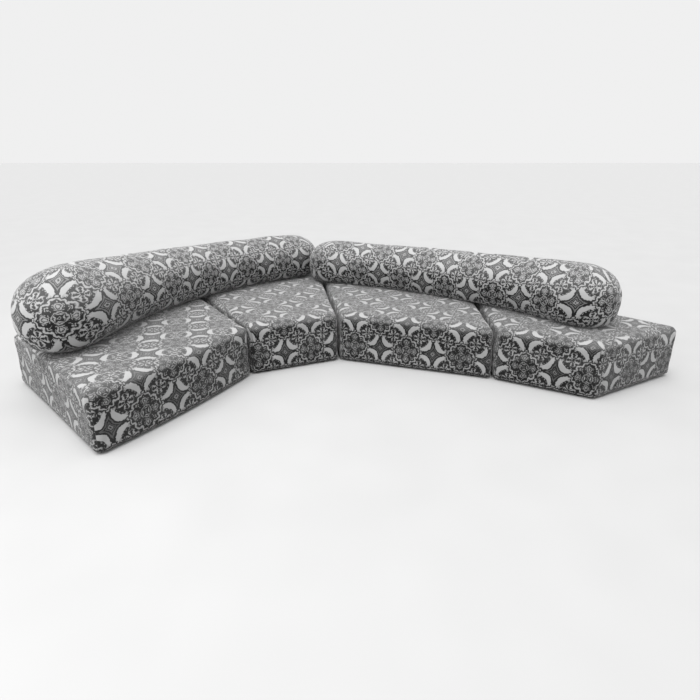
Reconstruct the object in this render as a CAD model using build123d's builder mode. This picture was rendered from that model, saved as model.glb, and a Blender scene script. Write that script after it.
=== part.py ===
"""Modular lounge sofa: four low upholstered seat blocks in an open bow, with two long curved bolsters.

Millimetres, +Z up. The sofa opens towards -Y, X runs along its width, and the floor is Z = 0.
The origin is the middle of the sofa's bounding box, on the floor.
"""
from math import asin, cos, degrees, radians, sin, sqrt
import os

from build123d import *

os.makedirs("parts", exist_ok=True)

# Seat plan: the four fronts are a chain from the left, each with its own width and heading
front_a = 1330
front_b = 720
front_c = 1210
front_d = 690
heading_a = 61
heading_b = 25
heading_c = -19
heading_d = -30

# Outer ends and seams run back from the chain, each with its own length and heading
end_a = 1450
end_d = 890
seam_ab = 1760
seam_bc = 2090
seam_cd = 1520
heading_end_a = 135
heading_end_d = 30
heading_seam_ab = 123
heading_seam_bc = 98.5
heading_seam_cd = 88

# Seat block
seat_height = 380
crown = 15
front_a_bow = 35
corner_radius = 50
top_radius = 42
hem_radius = 16
seam_gap = 6
cover_thickness = 3
cover_ease = 0.5
hem_lap = 2
topper_thickness = 62

# Timber frame and deck
frame_padding = 28
rail_thickness = 44
rail_height = 120
deck_thickness = 15
vent_radius = 20
vent_reach = 190
vent_count = 6

# Screws, all of one size
screw_radius = 2
screw_length = 30
screw_head_radius = 4
screw_head_height = 2.5
deck_screw_end_distance = 150
fastener_clearance = 0.3

# Underside
glide_height = 12
glide_radius = 22
glide_chamfer = 2
glide_stem_radius = 4
glide_stem_length = 34
glide_end_distance = 90
dust_cloth_thickness = 1
dust_cloth_margin = 20

# Clip under each seam: a tongue on one block slides into a jaw on the next
clip_front_distance = 320
clip_back_distance = 380
tongue_thickness = 3
tongue_width = 32
tongue_reach = 74
tongue_pad_thickness = 5.5
tongue_pad_length = 40
tongue_pad_width = 70
tongue_screw_spacing = 50
jaw_thickness = 8
jaw_length = 60
jaw_width = 64
jaw_wing_thickness = 4
jaw_wing_width = 108
jaw_screw_spacing = 86
jaw_clearance = 0.5

# Bolsters: each is a curved body on an arc in plan, with a dome beyond each end
bolster_gap = 0.3
bolster_cover_thickness = 3
bolster_ease = 0.5
bolster_section_count = 7
left_middle = Vector(-42, 1968)
left_heading = 59.3
left_arc_radius = 3080
left_arc_length = 2385
left_outer_radius = 268
left_middle_radius = 224
left_inner_radius = 219
left_outer_dome = 421
left_inner_dome = 310
left_flat_depth = 14
right_middle = Vector(2256, 2121)
right_heading = -36.7
right_arc_radius = 4290
right_arc_length = 2282
right_inner_radius = 210
right_middle_radius = 206
right_outer_radius = 235
right_inner_dome = 286
right_outer_dome = 313
right_flat_depth = 28

# Zip along the lower back of each bolster
zip_length = 380
zip_slope = 28
zip_stand = 2
band_width = 26
band_depth = 16
rib_width = 5
rib_height = 2.4
rib_end_distance = 10
slider_length = 18
slider_width = 12
slider_height = 6
slider_clearance = 0.4
pull_length = 26
pull_width = 7
pull_thickness = 1.6

overrun = 5

# Heights of the layers in a block, and lines round its frame
underside = glide_height + dust_cloth_thickness
frame_level = underside + cover_thickness
deck_level = frame_level + rail_height
deck_top = deck_level + deck_thickness
topper_level = seat_height - topper_thickness
crown_level = seat_height + crown
bolster_level = crown_level + bolster_gap
rail_line = frame_padding + rail_thickness / 2
frame_inner = frame_padding + rail_thickness
foam_inset = cover_thickness + cover_ease
core_inset = bolster_cover_thickness + bolster_ease


def toward(start, length, heading):
    """The point a length away from start, at a heading in plan."""
    return start + Vector(length, 0).rotate(Axis.Z, heading)


def inset_corners(corners, distances):
    """Corners of the outline whose sides are each moved inward by their own distance."""
    moved = []
    for index, corner in enumerate(corners):
        before = (corner - corners[index - 1]).normalized()
        after = (corners[(index + 1) % len(corners)] - corner).normalized()
        slant = before.cross(after).Z
        moved.append(corner + after * (distances[index - 1] / slant) - before * (distances[index] / slant))
    return moved


def block_corners(block, inset):
    """Corners of a block moved inward, with half of the seam gap more at its seams."""
    return inset_corners(block["corners"], [inset + gap for gap in block["gaps"]])


def outline(block, inset, radius=0, bow=0):
    """Plan outline of a block, moved inward, with rounded corners and a bowed front where it has them."""
    corners = block_corners(block, inset)
    with BuildSketch(mode=Mode.PRIVATE) as face:
        with BuildLine():
            for index, start in enumerate(corners):
                end = corners[(index + 1) % len(corners)]
                if bow and index == 0:
                    SagittaArc(start, end, -bow)
                else:
                    Line(start, end)
        make_face()
        if radius:
            fillet(face.vertices(), radius)
    return face.sketch


def soft_block(block, inset):
    """Upholstered block with a spherical crown, a rounded top edge and a rounded hem, moved inward."""
    heart = block["heart"]
    reach = max((corner - heart).length for corner in block["corners"])
    crown_radius = (reach ** 2 + crown ** 2) / (2 * crown)
    with BuildPart(mode=Mode.PRIVATE) as soft:
        with BuildSketch(Plane.XY.offset(underside + inset)):
            add(outline(block, inset, corner_radius - inset, block["bow"]))
        extrude(amount=crown_level)
        with Locations((heart.X, heart.Y, crown_level - crown_radius)):
            Sphere(crown_radius - inset, rotation=(90, 0, 0), mode=Mode.INTERSECT)
        fillet(soft.faces().sort_by(Axis.Z)[-1].edges(), top_radius - inset)
        fillet(soft.faces().sort_by(Axis.Z)[0].edges(), hem_radius - inset)
    return soft.part


def drill(points, radius, bottom, top):
    """Upright holes through the current part, from bottom to top, at points in plan."""
    with Locations(*[(point.X, point.Y, bottom) for point in points]):
        Cylinder(
            radius, top - bottom, align=(Align.CENTER, Align.CENTER, Align.MIN), mode=Mode.SUBTRACT
        )


def points_along(start, end, end_distance):
    """Two points on the line from start to end, each a distance from its end."""
    along = (end - start).normalized()
    return [start + along * end_distance, end - along * end_distance]


def clip_planes(block, side):
    """Planes on the floor at the clips of a seam: X points out across the seam and Y along it."""
    front, back = (1, 2) if side == "right" else (0, 3)
    along = (block["corners"][back] - block["corners"][front]).normalized()
    out = along.rotate(Axis.Z, -90 if side == "right" else 90)
    feet = (
        block["corners"][front] + along * clip_front_distance,
        block["corners"][back] - along * clip_back_distance,
    )
    return [Plane(origin=foot, x_dir=out, z_dir=(0, 0, 1)) for foot in feet]


def clip_screws(block, side, spacing):
    """Screw places of the clips at a seam, on the middle of the rail."""
    places = []
    for plane in clip_planes(block, side):
        for way in (-1, 1):
            places.append(plane.from_local_coords(Vector(-rail_line, way * spacing / 2)))
    return places


def bolster_radius(bolster, share):
    """Radius at a share of the arc's length from its middle, on a curve through the three radii."""
    first, middle, last = bolster["radii"]
    return middle + (last - first) * share + (first + last - middle * 2) * 2 * share ** 2


def bolster_plane(bolster, share):
    """Upright plane square to the arc: X points to the back, Y up and Z along the arc."""
    turn = degrees(bolster["arc_length"] * share / bolster["arc_radius"])
    along = Vector(1, 0).rotate(Axis.Z, bolster["heading"])
    right = along.rotate(Axis.Z, -90)
    centre = bolster["middle"] + along * (bolster["arc_radius"] * sin(radians(turn)))
    centre += right * (bolster["arc_radius"] * (1 - cos(radians(turn))))
    height = bolster_level + bolster_radius(bolster, share) - bolster["flat_depth"]
    tangent = along.rotate(Axis.Z, -turn)
    return Plane(
        origin=(centre.X, centre.Y, height), x_dir=tangent.rotate(Axis.Z, 90), z_dir=tangent
    )


def bolster_block(bolster, inset):
    """Solid bolster moved inward all round: a flat-bottomed curved body and two half-ellipsoid ends."""
    with BuildPart(mode=Mode.PRIVATE) as ends:
        for share, dome, way in zip((-0.5, 0.5), bolster["domes"], (-1, 1)):
            section = bolster_plane(bolster, share)
            radius = bolster_radius(bolster, share) - inset
            tip = section.z_dir * way
            with BuildSketch(Plane(origin=section.origin, x_dir=tip, z_dir=section.x_dir * way)):
                with BuildLine():
                    EllipticalCenterArc((0, 0), dome - inset, radius, start_angle=0, arc_size=90)
                    Line((0, radius), (0, 0))
                    Line((0, 0), (dome - inset, 0))
                make_face()
            revolve(axis=Axis(section.origin, tip))
        split(bisect_by=Plane.XY.offset(bolster_level + inset), keep=Keep.TOP)
    with BuildPart(mode=Mode.PRIVATE) as body:
        for index in range(bolster_section_count):
            share = index / (bolster_section_count - 1) - 0.5
            radius = bolster_radius(bolster, share) - inset
            drop = radius - bolster["flat_depth"]
            half_flat = sqrt(radius ** 2 - drop ** 2)
            lowest = degrees(asin(half_flat / radius))
            sweep = (360 - 2 * lowest) / 3
            with BuildSketch(bolster_plane(bolster, share)):
                with BuildLine():
                    for arc in range(3):
                        CenterArc((0, 0), radius, lowest - 90 + sweep * arc, sweep)
                    Line((-half_flat, -drop), (half_flat, -drop))
                make_face()
        loft()
        add(ends.part)
    return body.part


def zip_plane(bolster):
    """Plane of the zip's band: X along the zip and Z out of the bolster, low on its back."""
    skin = []
    for way in (-1, 1):
        share = way * zip_length / 2 / bolster["arc_length"]
        section = bolster_plane(bolster, share)
        out = section.x_dir * cos(radians(zip_slope)) - Vector(0, 0, 1) * sin(radians(zip_slope))
        skin.append(section.origin + out * bolster_radius(bolster, share))
    bulge = zip_length ** 2 / (8 * bolster["arc_radius"])
    along = (skin[1] - skin[0]).normalized()
    out = (out - along * out.dot(along)).normalized()
    return Plane(origin=(skin[0] + skin[1]) / 2 + out * (bulge + zip_stand), x_dir=along, z_dir=out)


# Corners of the seat plan, first from the left end of the chain of fronts
chain = [Vector(0, 0)]
for length, heading in ((front_a, heading_a), (front_b, heading_b), (front_c, heading_c), (front_d, heading_d)):
    chain.append(toward(chain[-1], length, heading))
left_end = toward(chain[0], end_a, heading_end_a)
right_end = toward(chain[4], end_d, heading_end_d)
back_ab = toward(chain[1], seam_ab, heading_seam_ab)
back_bc = toward(chain[2], seam_bc, heading_seam_bc)
back_cd = toward(chain[3], seam_cd, heading_seam_cd)

bolsters = {
    "left": {
        "middle": left_middle,
        "heading": left_heading,
        "arc_radius": left_arc_radius,
        "arc_length": left_arc_length,
        "radii": (left_outer_radius, left_middle_radius, left_inner_radius),
        "domes": (left_outer_dome, left_inner_dome),
        "flat_depth": left_flat_depth,
    },
    "right": {
        "middle": right_middle,
        "heading": right_heading,
        "arc_radius": right_arc_radius,
        "arc_length": right_arc_length,
        "radii": (right_inner_radius, right_middle_radius, right_outer_radius),
        "domes": (right_inner_dome, right_outer_dome),
        "flat_depth": right_flat_depth,
    },
}

# Each block's corners run round from the left of its front: front, right, back and left side.
# Its gaps are what each side stands back from its line, and its clips are named by seam side.
half_gap = seam_gap / 2
seats = {
    "a": {
        "corners": [chain[0], chain[1], back_ab, left_end],
        "gaps": (0, half_gap, 0, 0),
        "bow": front_a_bow,
        "clips": {"right": "tongue"},
    },
    "b": {
        "corners": [chain[1], chain[2], back_bc, back_ab],
        "gaps": (0, half_gap, 0, half_gap),
        "bow": 0,
        "clips": {"left": "jaw", "right": "jaw"},
    },
    "c": {
        "corners": [chain[2], chain[3], back_cd, back_bc],
        "gaps": (0, half_gap, 0, half_gap),
        "bow": 0,
        "clips": {"left": "tongue", "right": "jaw"},
    },
    "d": {
        "corners": [chain[3], chain[4], right_end, back_cd],
        "gaps": (0, 0, 0, half_gap),
        "bow": 0,
        "clips": {"left": "tongue"},
    },
}

# The plan is moved so that the middle of the whole sofa's bounding box is the origin
span = Sketch() + [outline(block, 0, corner_radius, block["bow"]) for block in seats.values()]
span_box = span.bounding_box()
for bolster in bolsters.values():
    span_box = span_box.add(bolster_block(bolster, 0).bounding_box())
home = Vector((span_box.min.X + span_box.max.X) / 2, (span_box.min.Y + span_box.max.Y) / 2)
for block in seats.values():
    block["corners"] = [corner - home for corner in block["corners"]]
    block["heart"] = sum(block["corners"], Vector()) / len(block["corners"])
for bolster in bolsters.values():
    bolster["middle"] = bolster["middle"] - home

for letter, block in seats.items():
    seat = "seat_" + letter
    heart = block["heart"]
    front_line, right_line, back_line, left_line = block_corners(block, rail_line)

    # Places of the fasteners in plan
    stems = points_along(front_line, right_line, glide_end_distance)
    stems += points_along(back_line, left_line, glide_end_distance)
    deck_screws = []
    for start, end in (
        (front_line, right_line),
        (right_line, back_line),
        (back_line, left_line),
        (left_line, front_line),
    ):
        deck_screws += points_along(start, end, deck_screw_end_distance)
    tongue_screws = []
    jaw_screws = []
    for side, clip in block["clips"].items():
        if clip == "tongue":
            tongue_screws += clip_screws(block, side, tongue_screw_spacing)
        else:
            jaw_screws += clip_screws(block, side, jaw_screw_spacing)
    under_screws = tongue_screws + jaw_screws
    screw_hole = screw_radius + fastener_clearance
    stem_hole = glide_stem_radius + fastener_clearance

    # Fitted fabric cover, turned under the frame in a wide hem
    with BuildPart() as cover:
        add(soft_block(block, 0))
        add(soft_block(block, cover_thickness), mode=Mode.SUBTRACT)
        with BuildSketch(Plane.XY.offset(underside - overrun)):
            add(outline(block, frame_inner + hem_lap))
        extrude(amount=overrun + cover_thickness + overrun, mode=Mode.SUBTRACT)
        drill(stems, stem_hole, underside - overrun, frame_level + overrun)
        drill(under_screws, screw_hole, underside - overrun, frame_level + overrun)
    cover.part.label = seat + "_cover"
    export_step(cover.part, "parts/" + cover.part.label + ".step")

    # Soft top layer of the seat
    foam = soft_block(block, foam_inset)
    with BuildPart() as topper:
        add(foam)
        split(bisect_by=Plane.XY.offset(topper_level), keep=Keep.TOP)
    topper.part.label = seat + "_topper"
    export_step(topper.part, "parts/" + topper.part.label + ".step")

    # Firm foam on the deck, with a skirt that pads the outside of the rails
    with BuildPart() as foam_core:
        add(foam)
        split(bisect_by=Plane.XY.offset(topper_level), keep=Keep.BOTTOM)
        with BuildSketch():
            add(outline(block, frame_padding, corner_radius - frame_padding))
        extrude(amount=deck_top, mode=Mode.SUBTRACT)
    foam_core.part.label = seat + "_foam_core"
    export_step(foam_core.part, "parts/" + foam_core.part.label + ".step")

    # Ventilated board across the rails
    beam = (block_corners(block, frame_inner)[0] + block_corners(block, frame_inner)[1]) / 2
    beam_end = (block_corners(block, frame_inner)[2] + block_corners(block, frame_inner)[3]) / 2
    beam_heading = Vector(1, 0).get_signed_angle(beam_end - beam)
    with BuildPart() as deck:
        with BuildSketch(Plane.XY.offset(deck_level)):
            add(outline(block, frame_padding, corner_radius - frame_padding))
            with Locations(heart):
                with PolarLocations(vent_reach, vent_count, beam_heading + 180 / vent_count):
                    Circle(vent_radius, mode=Mode.SUBTRACT)
        extrude(amount=deck_thickness)
        drill(deck_screws, screw_hole, deck_level - overrun, deck_top + overrun)
        drill(
            deck_screws, screw_head_radius + fastener_clearance, deck_top - screw_head_height, deck_top + overrun
        )
    deck.part.label = seat + "_deck"
    export_step(deck.part, "parts/" + deck.part.label + ".step")

    # Four timber rails on edge, mitred where they meet
    corners = block["corners"]
    for index, side in enumerate(("front", "right", "back", "left")):
        with BuildPart() as rail:
            with BuildSketch(Plane.XY.offset(frame_level)):
                add(outline(block, frame_padding, corner_radius - frame_padding))
                add(outline(block, frame_inner), mode=Mode.SUBTRACT)
                with BuildSketch(mode=Mode.PRIVATE) as wedge:
                    with BuildLine():
                        Polyline(corners[index], corners[(index + 1) % 4], heart, close=True)
                    make_face()
                add(wedge.sketch, mode=Mode.INTERSECT)
            extrude(amount=rail_height)
            drill(stems, stem_hole, frame_level - overrun, glide_height + glide_stem_length + fastener_clearance)
            drill(under_screws, screw_hole, frame_level - overrun, frame_level + screw_length)
            drill(deck_screws, screw_hole, deck_top - screw_length - screw_head_height, deck_level + overrun)
        rail.part.label = seat + "_" + side + "_rail"
        export_step(rail.part, "parts/" + rail.part.label + ".step")

    # Timber beam under the middle of the deck
    with BuildPart() as cross_rail:
        with BuildSketch(Plane.XY.offset(frame_level)):
            add(outline(block, frame_inner))
            middle = (beam + beam_end) / 2
            with Locations(Location(middle, (0, 0, 1), beam_heading)):
                Rectangle((beam_end - beam).length * 2, rail_thickness, mode=Mode.INTERSECT)
        extrude(amount=rail_height)
    cross_rail.part.label = seat + "_cross_rail"
    export_step(cross_rail.part, "parts/" + cross_rail.part.label + ".step")

    # Thin cloth under the frame
    with BuildPart() as dust_cloth:
        with BuildSketch(Plane.XY.offset(glide_height)):
            add(outline(block, dust_cloth_margin, corner_radius - dust_cloth_margin))
        extrude(amount=dust_cloth_thickness)
        drill(stems, stem_hole, glide_height - overrun, underside + overrun)
        drill(under_screws, screw_hole, glide_height - overrun, underside + overrun)
    dust_cloth.part.label = seat + "_dust_cloth"
    export_step(dust_cloth.part, "parts/" + dust_cloth.part.label + ".step")

    # Round glides, each with a stem up into a rail
    with BuildPart() as glides:
        with BuildSketch():
            with Locations(*stems):
                Circle(glide_radius)
        extrude(amount=glide_height)
        chamfer(glides.faces().filter_by(Axis.Z).group_by(Axis.Z)[0].edges(), glide_chamfer)
        with BuildSketch(Plane.XY.offset(glide_height)):
            with Locations(*stems):
                Circle(glide_stem_radius)
        extrude(amount=glide_stem_length)
    glides.part.label = seat + "_glides"
    export_step(glides.part, "parts/" + glides.part.label + ".step")

    # Steel clips under the seams, each a tongue that reaches across or a jaw that takes it
    with BuildPart() as connectors:
        for side, clip in block["clips"].items():
            for plane in clip_planes(block, side):
                if clip == "tongue":
                    with BuildSketch(plane.offset(glide_height - tongue_pad_thickness)):
                        with Locations((-rail_line, 0)):
                            Rectangle(tongue_pad_length, tongue_pad_width)
                            with GridLocations(0, tongue_screw_spacing, 1, 2):
                                Circle(screw_hole, mode=Mode.SUBTRACT)
                    extrude(amount=tongue_pad_thickness)
                    with BuildSketch(plane.offset(glide_height - tongue_pad_thickness)):
                        with Locations(((tongue_reach - rail_line) / 2, 0)):
                            SlotOverall(tongue_reach + rail_line + tongue_width, tongue_width)
                        with Locations((-rail_line - tongue_pad_length, 0)):
                            Rectangle(tongue_pad_length, tongue_pad_width, mode=Mode.SUBTRACT)
                    extrude(amount=tongue_thickness)
                else:
                    with BuildSketch(plane.offset(glide_height - jaw_thickness)):
                        with Locations((-rail_line, 0)):
                            Rectangle(jaw_length, jaw_width)
                    extrude(amount=jaw_thickness)
                    with BuildSketch(plane.offset(glide_height - jaw_wing_thickness)):
                        with Locations((-rail_line, 0)):
                            Rectangle(jaw_length / 2, jaw_wing_width)
                            with GridLocations(0, jaw_screw_spacing, 1, 2):
                                Circle(screw_hole, mode=Mode.SUBTRACT)
                    extrude(amount=jaw_wing_thickness)
                    slot_level = glide_height - tongue_pad_thickness - jaw_clearance
                    with BuildSketch(plane.offset(slot_level)):
                        with Locations((-rail_line, 0)):
                            Rectangle(jaw_length + overrun, tongue_width + jaw_clearance * 2)
                    extrude(amount=tongue_thickness + jaw_clearance * 2, mode=Mode.SUBTRACT)
    connectors.part.label = seat + "_connectors"
    export_step(connectors.part, "parts/" + connectors.part.label + ".step")

    # Screws: down through the deck into the rails, and up through the clips into the rails
    with BuildPart() as screws:
        with BuildSketch(Plane.XY.offset(deck_top)):
            with Locations(*deck_screws):
                Circle(screw_head_radius)
        extrude(amount=-screw_head_height)
        with BuildSketch(Plane.XY.offset(deck_top - screw_head_height)):
            with Locations(*deck_screws):
                Circle(screw_radius)
        extrude(amount=-screw_length)
        for places, thickness in ((tongue_screws, tongue_pad_thickness), (jaw_screws, jaw_wing_thickness)):
            if places:
                with BuildSketch(Plane.XY.offset(glide_height - thickness)):
                    with Locations(*places):
                        Circle(screw_head_radius)
                extrude(amount=-screw_head_height)
                with BuildSketch(Plane.XY.offset(glide_height - thickness)):
                    with Locations(*places):
                        Circle(screw_radius)
                extrude(amount=screw_length)
    screws.part.label = seat + "_screws"
    export_step(screws.part, "parts/" + screws.part.label + ".step")

for name, bolster in bolsters.items():
    zip_face = zip_plane(bolster)

    # Fabric cover with the zip's band and teeth on its back
    with BuildPart() as cover:
        add(bolster_block(bolster, 0))
        add(bolster_block(bolster, bolster_cover_thickness), mode=Mode.SUBTRACT)
        with BuildSketch(zip_face):
            Rectangle(zip_length, band_width)
        extrude(amount=-band_depth)
        with BuildSketch(zip_face):
            Rectangle(zip_length - rib_end_distance * 2, rib_width)
        extrude(amount=rib_height)
    cover.part.label = "bolster_" + name + "_cover"
    export_step(cover.part, "parts/" + cover.part.label + ".step")

    # Filling
    with BuildPart() as core:
        add(bolster_block(bolster, core_inset))
        with BuildSketch(zip_face):
            Rectangle(zip_length + bolster_ease * 2, band_width + bolster_ease * 2)
        extrude(amount=-band_depth - bolster_ease, mode=Mode.SUBTRACT)
    core.part.label = "bolster_" + name + "_core"
    export_step(core.part, "parts/" + core.part.label + ".step")

    # Slider that rides the teeth, with its pull
    with BuildPart() as zip_slider:
        with BuildSketch(zip_face.offset(slider_clearance)):
            with Locations((slider_length / 2 + rib_end_distance - zip_length / 2, 0)):
                Rectangle(slider_length, slider_width)
        extrude(amount=slider_height)
        with BuildSketch(zip_face):
            Rectangle(zip_length + overrun, rib_width + slider_clearance * 2)
        extrude(amount=rib_height + slider_clearance, mode=Mode.SUBTRACT)
        with BuildSketch(zip_face.offset(slider_clearance + slider_height - pull_thickness)):
            with Locations((slider_length + rib_end_distance - zip_length / 2, 0)):
                SlotOverall(pull_length, pull_width)
        extrude(amount=pull_thickness)
    zip_slider.part.label = "bolster_" + name + "_zip_slider"
    export_step(zip_slider.part, "parts/" + zip_slider.part.label + ".step")
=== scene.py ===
"""Looks of a modular lounge sofa: four upholstered seat blocks in an open bow, with two long bolsters.

Metres, +Z up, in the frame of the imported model. The sofa opens towards -Y.
"""
from math import pi, radians, sin, sqrt

import bmesh
import bpy
import numpy as np
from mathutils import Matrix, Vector
from mathutils.geometry import convex_hull_2d


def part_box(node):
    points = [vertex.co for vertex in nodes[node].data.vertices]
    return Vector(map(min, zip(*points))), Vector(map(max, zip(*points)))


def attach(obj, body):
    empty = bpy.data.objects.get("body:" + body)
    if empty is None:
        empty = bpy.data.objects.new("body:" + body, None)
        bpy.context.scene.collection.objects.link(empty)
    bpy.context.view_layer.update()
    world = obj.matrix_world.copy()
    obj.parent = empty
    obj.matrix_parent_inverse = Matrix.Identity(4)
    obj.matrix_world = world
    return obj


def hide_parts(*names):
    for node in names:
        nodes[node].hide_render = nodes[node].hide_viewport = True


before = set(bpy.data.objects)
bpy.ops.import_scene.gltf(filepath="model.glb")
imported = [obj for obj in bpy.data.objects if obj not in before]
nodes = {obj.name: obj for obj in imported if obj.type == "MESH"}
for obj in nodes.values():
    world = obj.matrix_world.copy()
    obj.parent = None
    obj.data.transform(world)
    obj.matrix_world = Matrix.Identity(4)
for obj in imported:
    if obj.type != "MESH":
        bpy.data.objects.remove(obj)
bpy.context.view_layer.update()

# Camera, fitted to the photograph in a frame of 700 by 700
picture_width = 700
focal_pixels = 521.8
sensor_width = 36
camera_place = (0.0096, -4.2319, 1.56)
camera_pitch = 20.44
camera_turn = 0.13

# Floor and light
floor_size = 240
world_strength = 0.87
key_place = (-2.6, -3.6, 3.2)
key_aim = (-0.4, 0, 0.3)
key_size = 3.0
key_power = 60
sun_strength = 2.3
sun_width = 50
sun_tilt = (10, -6)

# Seat blocks
seat_height = 0.380
crown = 0.015
frame_padding = 0.028
corner_radius = 0.034
least_corner_radius = 0.004
top_radius = 0.040
hem_radius = 0.008
underside = 0.0138
hem_drop = 0.0045
hem_lip = 0.018
front_a_bow = 0.035
front_a_bow_depth = 0.25
block_shrink = 0.004
same_level = 0.001

# Points and rings of a block's mesh, from its underside up to the middle of its top
corner_steps = 6
side_steps = 20
under_insets = (0.30, 0.10)
hem_edge_share = 0.7
hem_steps = 3
side_ring_shares = np.linspace(0.1, 1.0, 10)
edge_steps = 6
top_ring_shares = (0.88, 0.72, 0.56, 0.4, 0.24, 0.08)

# Bolsters, placed from the outer corner of the left block's front
bolster_level = 0.3953
bolster_shrink = 0.004
bolster_lift = 0.0005
dome_power = 2.25
dome_tip = 0.0004
sag_power = 3.2
sag_reach = 0.5
bolsters = {
    "left": {
        "middle": (-0.042, 1.968), "heading": 59.3, "arc_radius": 3.080, "length": 2.385,
        "radii": (0.268, 0.224, 0.219), "domes": (0.412, 0.310), "flat_depth": 0.014,
    },
    "right": {
        "middle": (2.256, 2.121), "heading": -36.7, "arc_radius": 4.290, "length": 2.282,
        "radii": (0.210, 0.206, 0.235), "domes": (0.286, 0.313), "flat_depth": 0.028,
    },
}
arc_ends = (-0.5, 0.5)
points_around = 48
arc_steps = 60
dome_steps = 12

# Seams: level of the one under the top panel, reach of the upright ones at the corners, angle of a
# bolster's, and the reach of the cuts in the mesh
seam_level = 0.366
corner_zone = 0.12
bolster_seam_angle = -120
level_cut_reach = 0.03
level_cut_inset = 0.05
end_cut_reach = 0.4
cut_snap = 0.0008
seam_scale = 10
no_seam = 1.0

# Fabric repeat, and where its stars lie: along each front and side, and the width of its repeat there
repeat = 0.45
star_row = -0.203
front_stars = {"a": (0.110, 0.463), "b": (0.265, 0.417), "c": (0.333, 0.415), "d": (0.414, 0.420)}
side_stars = {"a": (0.200, 0.450), "b": (0.200, 0.450), "c": (0.200, 0.450), "d": (0.144, 0.414)}
under_slope = -0.6

# Where the middle row of stars crosses each bolster, as distances along its arc from the middle, and how
# high the row runs round it: its level, its bend, and where it starts to bend
bolster_stars = {
    "left": (-1.82, -1.217, -0.615, -0.133, 0.320, 0.781, 1.204, 1.66),
    "right": (-1.50, -1.056, -0.616, -0.154, 0.295, 0.791, 1.250, 1.71),
}
first_star = -3
bolster_row = {"left": (0.008, 0.0, 0.0), "right": (-0.074, 0.085, 0.25)}
row_reach = 1.2
row_limit = 1.3

# Arabesque: lengths are in repeats, and shades run from black at 0 to the palest grey at 1. A star stands
# at (0, 0), a medallion at (0.5, 0) and a bunch of berries at (0.25, 0.25).
half_repeat = 0.5
bunch_place = (0.25, 0.25)
line_soft = 0.007
fine_soft = 0.004
mirror_soft = 0.0001
black = 0.0

# Drift of the woven lines: scale of its noise, its width and its seed
drift_waves = ((6.0, 0.06, 0.0), (30.0, 0.034, 1.0))
drift_seed_gap = 5.0

# Fabric: shades from the pattern's grey value, and the colours of the plainer matter
seat_shades = ((0.0, 0.002), (0.12, 0.006), (0.5, 0.13), (1.0, 0.46))
# Painted light: the bolsters' greys are lighter than the seats', as if the bolsters were better lit
lit_bolster_shades = ((0.0, 0.004), (0.12, 0.02), (0.5, 0.31), (1.0, 0.54))
timber_shades = ((0.2, (0.62, 0.42, 0.23)), (0.6, (0.50, 0.31, 0.15)), (0.9, (0.34, 0.19, 0.09)))
plywood_shades = ((0.3, (0.52, 0.37, 0.22)), (0.5, (0.60, 0.45, 0.28)), (0.7, (0.68, 0.53, 0.35)))
zinc_shades = ((0.3, (0.42, 0.43, 0.45)), (0.7, (0.62, 0.63, 0.66)))
brass_shades = ((0.3, (0.07, 0.06, 0.05)), (0.7, (0.16, 0.13, 0.10)))

# Zip low on the back of each bolster
zip_length = 0.380
zip_slope = 28
zip_stand = 0.002
band_width = 0.026
band_depth = 0.010
band_edge = 0.0012
stitch_inset = 0.004
stitch_pitch = 0.005
stitch_size = (0.0034, 0.0007, 0.0007)
stitch_edge = 0.0002
rib_width = 0.005
rib_height = 0.0024
rib_end_distance = 0.010
tooth_pitch = 0.0042
tooth_length_share = 0.8
tooth_width_share = 0.62
tooth_aside_share = 0.18
tooth_edge = 0.0004

# Cloth simulation, with the height up to which a piece is held, and the most that its cloth moves
seat_voxel = 0.022
bolster_voxel = 0.020
seat_held = 0.012
bolster_held = 0.004
seat_cap = 0.007
bolster_cap = 0.010
cloth_frames = 20
cloth_pressure = 4
cloth_quality = 5
cloth_mass = 0.3
cloth_stretch_stiffness = 12
cloth_bending_stiffness = 0.6
cloth_growth = 0.012

# Slack of the covers: length and height of their slow and quick waves, and the seeds of these
seat_waves = ((0.42, 0.0022), (0.13, 0.0009))
bolster_waves = ((0.38, 0.0028), (0.11, 0.0008))
seat_seed = 10
bolster_seed = 60
seed_step = 10
noise_waves = 14
noise_spread = (0.6, 1.5)
still_level = 0.03
wave_rise = 0.05

# Creases at the corners of a block
crease_length = 0.06
crease_height = 0.0016
crease_stretch = (1, 1, 0.45)
crease_place = 0.05
crease_reach = 0.11

tiny = 1e-9


def link(obj):
    bpy.context.scene.collection.objects.link(obj)
    return obj


def mesh_piece(name, verts, faces):
    """A new mesh object from points and faces."""
    mesh = bpy.data.meshes.new(name)
    mesh.from_pydata([tuple(v) for v in verts], [], faces)
    mesh.update()
    return link(bpy.data.objects.new(name, mesh))


def read(items, name, kind=float, width=3):
    """One property of all items as an array: a row for each, or single numbers at width 1."""
    flat = np.empty(len(items) * width, dtype=kind)
    items.foreach_get(name, flat)
    return flat if width == 1 else flat.reshape(-1, width)


def coords(mesh):
    return read(mesh.vertices, "co")


def set_coords(mesh, points):
    mesh.vertices.foreach_set("co", np.asarray(points).ravel())
    mesh.update()


def shade_smooth(mesh):
    mesh.polygons.foreach_set("use_smooth", [True] * len(mesh.polygons))


# Fabric pattern


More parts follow.
